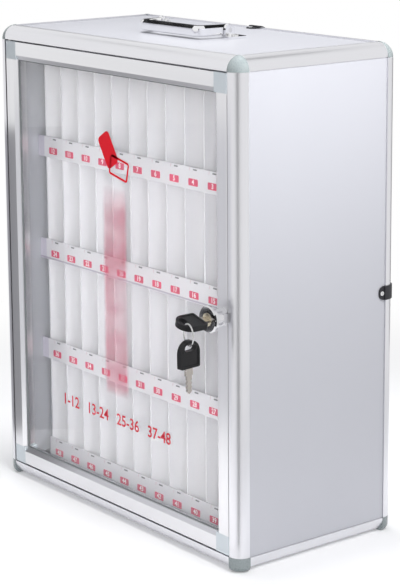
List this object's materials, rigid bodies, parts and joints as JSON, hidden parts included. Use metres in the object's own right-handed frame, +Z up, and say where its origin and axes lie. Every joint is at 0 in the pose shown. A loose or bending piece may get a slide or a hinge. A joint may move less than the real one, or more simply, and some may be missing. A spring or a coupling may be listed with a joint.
{
  "type": "lockable phone storage cabinet",
  "caption": "Lockable cabinet with a glazed hinged door, a cam lock with keys, a slotted rack for phones, a folding top handle and wall hangers.",
  "frame": {"origin": "middle of the whole part's footprint, in the plane that the feet stand on", "axes": "+X to the right seen from the door, +Y to the back, +Z up"},
  "size_m": [0.3696, 0.239, 0.462],
  "materials": {
    "edge_aluminium": "satin anodised",
    "door_aluminium": "satin anodised",
    "corner_plastic": "smooth moulded, grey-green",
    "door_corner_plastic": "smooth moulded, blue-grey",
    "sheet_coat": "satin silver coat",
    "window_clear": "clear, polished",
    "seal_rubber": "matt",
    "lock_chrome": "polished",
    "plug_brass": "pale, brushed",
    "lock_steel": "zinc plated",
    "handle_chrome": "polished",
    "screw_steel": "plated",
    "pin_steel": "plain",
    "hanger_black": "satin black",
    "key_plastic": "moulded black",
    "key_nickel": "nickel plated",
    "rack_white": "white sheet",
    "label_white": "white strip"
  },
  "bodies": {
    "cabinet": {"front_post_left": "edge_aluminium", "rear_post_left": "edge_aluminium", "front_post_right": "edge_aluminium", "rear_post_right": "edge_aluminium", "front_rail_bottom": "edge_aluminium", "rear_rail_bottom": "edge_aluminium", "side_rail_bottom_left": "edge_aluminium", "corner_cap_bottom_front_left": "corner_plastic", "corner_cap_bottom_rear_left": "corner_plastic", "side_rail_bottom_right": "edge_aluminium", "corner_cap_bottom_front_right": "corner_plastic", "corner_cap_bottom_rear_right": "corner_plastic", "front_rail_top": "edge_aluminium", "rear_rail_top": "edge_aluminium", "side_rail_top_left": "edge_aluminium", "corner_cap_top_front_left": "corner_plastic", "corner_cap_top_rear_left": "corner_plastic", "side_rail_top_right": "edge_aluminium", "corner_cap_top_front_right": "corner_plastic", "corner_cap_top_rear_right": "corner_plastic", "top_panel": "sheet_coat", "bottom_panel": "sheet_coat", "back_panel": "sheet_coat", "side_panel_left": "sheet_coat", "side_panel_right": "sheet_coat", "rack_shelf_1": "rack_white", "rack_dividers_1": "rack_white", "rack_shelf_2": "rack_white", "rack_dividers_2": "rack_white", "rack_shelf_3": "rack_white", "rack_dividers_3": "rack_white", "rack_shelf_4": "rack_white", "rack_dividers_4": "rack_white", "rack_back_board": "rack_white", "label_strips": "label_white", "hinge_pins": "pin_steel", "handle_brackets": "handle_chrome", "handle_pivot_screws": "screw_steel", "handle_foot_screws": "screw_steel", "top_hanger": "hanger_black", "side_hangers": "hanger_black", "hanger_screws": "screw_steel"},
    "door": {"door_stile_left": "door_aluminium", "door_stile_right": "door_aluminium", "door_rail_bottom": "door_aluminium", "door_rail_top": "door_aluminium", "door_corner_caps": "door_corner_plastic", "door_window": "window_clear", "window_gasket": "seal_rubber", "lock_housing": "lock_chrome", "lock_nuts": "lock_chrome"},
    "handle": {"handle_bail": "handle_chrome"},
    "lock_cylinder": {"lock_plug": "plug_brass", "lock_cam": "lock_steel", "cam_screw": "screw_steel"},
    "key": {"lock_key_head": "key_plastic", "lock_key_blade": "key_nickel"},
    "key_ring": {"key_ring": "lock_steel"},
    "spare_key": {"spare_key_head": "key_plastic", "spare_key_blade": "key_nickel"}
  },
  "joints": [
    {"name": "door_hinge", "type": "hinge", "parent": "cabinet", "child": "door", "pos_m": [-0.166, -0.06265, 0.2254], "axis": [0, 0, -1], "range_deg": [0, 105]},
    {"name": "handle_fold", "type": "hinge", "parent": "cabinet", "child": "handle", "pos_m": [0, 0.03415, 0.4564], "axis": [-1, 0, 0], "range_deg": [0, 180]},
    {"name": "lock_turn", "type": "hinge", "parent": "door", "child": "lock_cylinder", "pos_m": [0.1632, -0.08285, 0.2274], "axis": [0, 1, 0], "range_deg": [0, 90]},
    {"name": "key_slide", "type": "slide", "parent": "lock_cylinder", "child": "key", "axis": [0, -1, 0], "range_m": [0, 0.03]},
    {"name": "ring_swing", "type": "hinge", "parent": "key", "child": "key_ring", "pos_m": [0.17013, -0.10825, 0.22913], "axis": [0.9781, -0.2079, 0], "range_deg": [-12, 12]},
    {"name": "spare_key_swing", "type": "hinge", "parent": "key_ring", "child": "spare_key", "pos_m": [0.17013, -0.10825, 0.21053], "axis": [0.9781, -0.2079, 0], "range_deg": [-30, 30]}
  ]
}
